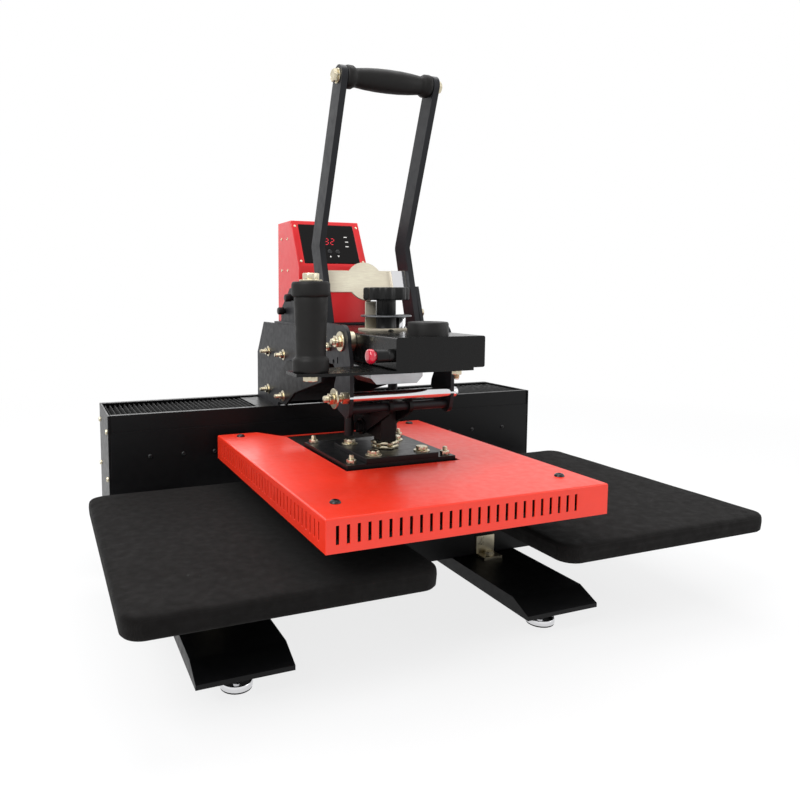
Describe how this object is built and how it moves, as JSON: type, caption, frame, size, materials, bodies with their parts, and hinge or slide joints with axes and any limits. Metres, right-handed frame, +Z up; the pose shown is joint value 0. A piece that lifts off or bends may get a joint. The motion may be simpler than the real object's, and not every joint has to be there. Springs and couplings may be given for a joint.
{
  "type": "dual station heat press",
  "caption": "Heat press with a red heated head on a rear sliding rail, moved between side by side padded platens and pressed down by a tall front lever.",
  "frame": {"origin": "on the floor under the middle of the whole press's box", "axes": "+X to the right seen from the operator, +Y to the rear, +Z up"},
  "size_m": [0.995, 0.722, 0.8505],
  "materials": {
    "powder_black": "satin black powder coat",
    "column_grey": "satin dark grey powder coat",
    "arm_gloss": "gloss black powder coat",
    "cover_red": "satin orange red powder coat",
    "box_red": "satin red powder coat",
    "zinc": "zinc plated",
    "chrome": "polished chrome",
    "rail_steel": "ground steel",
    "stainless": "brushed stainless",
    "aluminium": "milled",
    "cast_aluminium": "dark non-stick coating",
    "wool": "dark mineral wool blanket",
    "pad_cloth": "black woven slip cover over silicone foam",
    "bellows_cloth": "pleated coated cloth",
    "grip_rubber": "matt moulded rubber",
    "black_plastic": "moulded",
    "panel_plastic": "gloss",
    "button_plastic": "gloss",
    "red_plastic": "gloss"
  },
  "bodies": {
    "base": {"left_leg": "powder_black", "right_leg": "powder_black", "cross_beam": "powder_black", "beam_brackets": "zinc", "platen_saddles": "powder_black", "platen_plates": "aluminium", "left_platen_cover": "pad_cloth", "right_platen_cover": "pad_cloth", "housing_front_panel": "powder_black", "housing_front_cover": "powder_black", "housing_rear_panel": "powder_black", "housing_end_plates": "powder_black", "housing_screws": "zinc", "rail_beam": "powder_black", "guide_rails": "rail_steel", "left_bellows": "bellows_cloth", "right_bellows": "bellows_cloth"},
    "carriage": {"carriage_saddle": "powder_black", "runner_blocks": "rail_steel", "column_cheeks": "column_grey", "arm_gussets": "powder_black", "arm": "arm_gloss", "arm_plate": "arm_gloss", "lever_axle": "zinc", "guide_posts": "chrome", "spindle_block": "aluminium", "side_grip": "grip_rubber", "arm_puck": "black_plastic", "pressure_dial": "chrome", "carriage_bolts": "zinc", "control_bracket": "column_grey", "clamp_knobs": "black_plastic", "control_box": "box_red", "control_panel": "panel_plastic", "mains_inlet": "black_plastic", "stop_button_body": "black_plastic"},
    "press_head": {"ram": "powder_black", "mount_plate_lower": "powder_black", "mount_plate_upper": "powder_black", "head_fasteners": "zinc", "heater_plate": "cast_aluminium", "insulation": "wool", "head_cover": "cover_red", "cover_screws": "button_plastic"},
    "lever": {"lever_left": "column_grey", "lever_right": "column_grey", "handle_grip": "grip_rubber", "knee_rod": "chrome", "handle_fasteners": "zinc", "brace_plate": "stainless"},
    "links": {"knee_links": "powder_black"},
    "pressure_knob": {"pressure_knob": "black_plastic"},
    "up_button": {"button_up": "button_plastic"},
    "down_button": {"button_down": "button_plastic"},
    "mains_switch": {"mains_rocker": "button_plastic"},
    "stop_button": {"stop_button_cap": "red_plastic"},
    "foot_fl": {"foot_front_left": "chrome"},
    "foot_fr": {"foot_front_right": "chrome"},
    "foot_rl": {"foot_rear_left": "chrome"},
    "foot_rr": {"foot_rear_right": "chrome"}
  },
  "joints": [
    {"name": "carriage_slide", "type": "slide", "parent": "base", "child": "carriage", "axis": [1, 0, 0], "range_m": [-0.2415, 0.3535], "deforming": ["left_bellows", "right_bellows"]},
    {"name": "press_slide", "type": "slide", "parent": "carriage", "child": "press_head", "axis": [0, 0, -1], "range_m": [0, 0.0398], "stiffness_N_per_m": 4000, "springref_m": -0.075},
    {"name": "lever_swing", "type": "hinge", "parent": "carriage", "child": "lever", "pos_m": [-0.056, -0.128, 0.439], "axis": [1, 0, 0], "range_deg": [0, 22.2]},
    {"name": "link_swing", "type": "hinge", "parent": "lever", "child": "links", "pos_m": [-0.056, -0.145, 0.338], "axis": [1, 0, 0], "range_deg": [-55.6, 0]},
    {"name": "pressure_turn", "type": "hinge", "parent": "carriage", "child": "pressure_knob", "pos_m": [-0.056, -0.101, 0.5], "axis": [0, 0, 1], "range_deg": [-720, 720]},
    {"name": "up_button_press", "type": "slide", "parent": "carriage", "child": "up_button", "axis": [0, 0.8882, -0.4594], "range_m": [0, 0.001], "stiffness_N_per_m": 600, "springref_m": -0.001},
    {"name": "down_button_press", "type": "slide", "parent": "carriage", "child": "down_button", "axis": [0, 0.8882, -0.4594], "range_m": [0, 0.001], "stiffness_N_per_m": 600, "springref_m": -0.001},
    {"name": "mains_rock", "type": "hinge", "parent": "carriage", "child": "mains_switch", "pos_m": [-0.083, 0.223, 0.495], "axis": [1, 0, 0], "range_deg": [0, 12]},
    {"name": "stop_press", "type": "slide", "parent": "carriage", "child": "stop_button", "axis": [1, 0, 0], "range_m": [0, 0.003], "stiffness_N_per_m": 800, "springref_m": -0.002},
    {"name": "foot_fl_turn", "type": "hinge", "parent": "base", "child": "foot_fl", "pos_m": [-0.342, -0.24, 0.02], "axis": [0, 0, 1], "continuous": true},
    {"name": "foot_fr_turn", "type": "hinge", "parent": "base", "child": "foot_fr", "pos_m": [0.146, -0.24, 0.02], "axis": [0, 0, 1], "continuous": true},
    {"name": "foot_rl_turn", "type": "hinge", "parent": "base", "child": "foot_rl", "pos_m": [-0.342, 0.321, 0.02], "axis": [0, 0, 1], "continuous": true},
    {"name": "foot_rr_turn", "type": "hinge", "parent": "base", "child": "foot_rr", "pos_m": [0.146, 0.321, 0.02], "axis": [0, 0, 1], "continuous": true}
  ],
  "couplings": [
    {"joint": "lever_swing", "follows": "press_slide", "rad_per_m": 9.5815},
    {"joint": "link_swing", "follows": "press_slide", "rad_per_m": -24.084}
  ]
}
